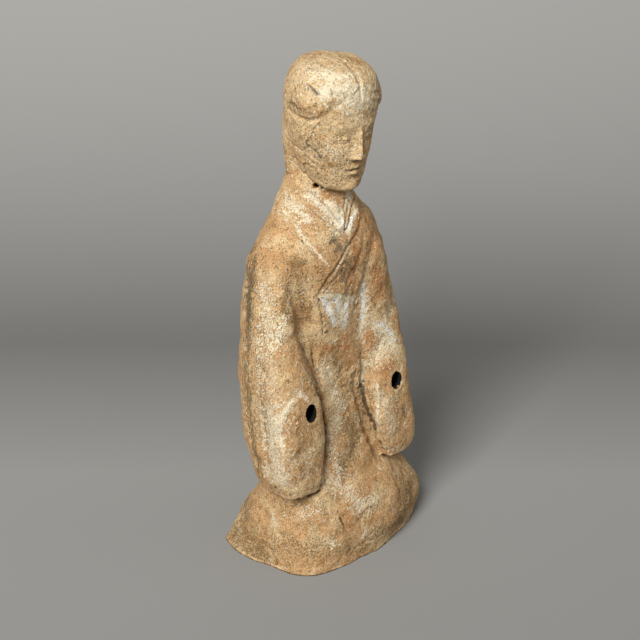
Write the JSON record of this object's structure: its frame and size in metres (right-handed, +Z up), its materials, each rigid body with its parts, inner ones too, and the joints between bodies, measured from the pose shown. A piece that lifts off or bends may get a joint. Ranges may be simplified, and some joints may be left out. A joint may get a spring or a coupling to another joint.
{
  "type": "terracotta court lady figure",
  "caption": "Standing earthenware tomb attendant in a crossed robe, with a seated head, long hanging sleeves pierced for something once held, and a spreading hem to stand on.",
  "frame": {"origin": "on the flat underside, below the axis of the body", "axes": "+Z up along the body, the face looks along -Y, +X towards the wearer's left"},
  "size_m": [0.1853, 0.1131, 0.4388],
  "materials": {
    "robe_earthenware": "matt",
    "head_earthenware": "matt"
  },
  "bodies": {
    "root": {"robed_body": "robe_earthenware", "head": "head_earthenware"}
  },
  "joints": []
}
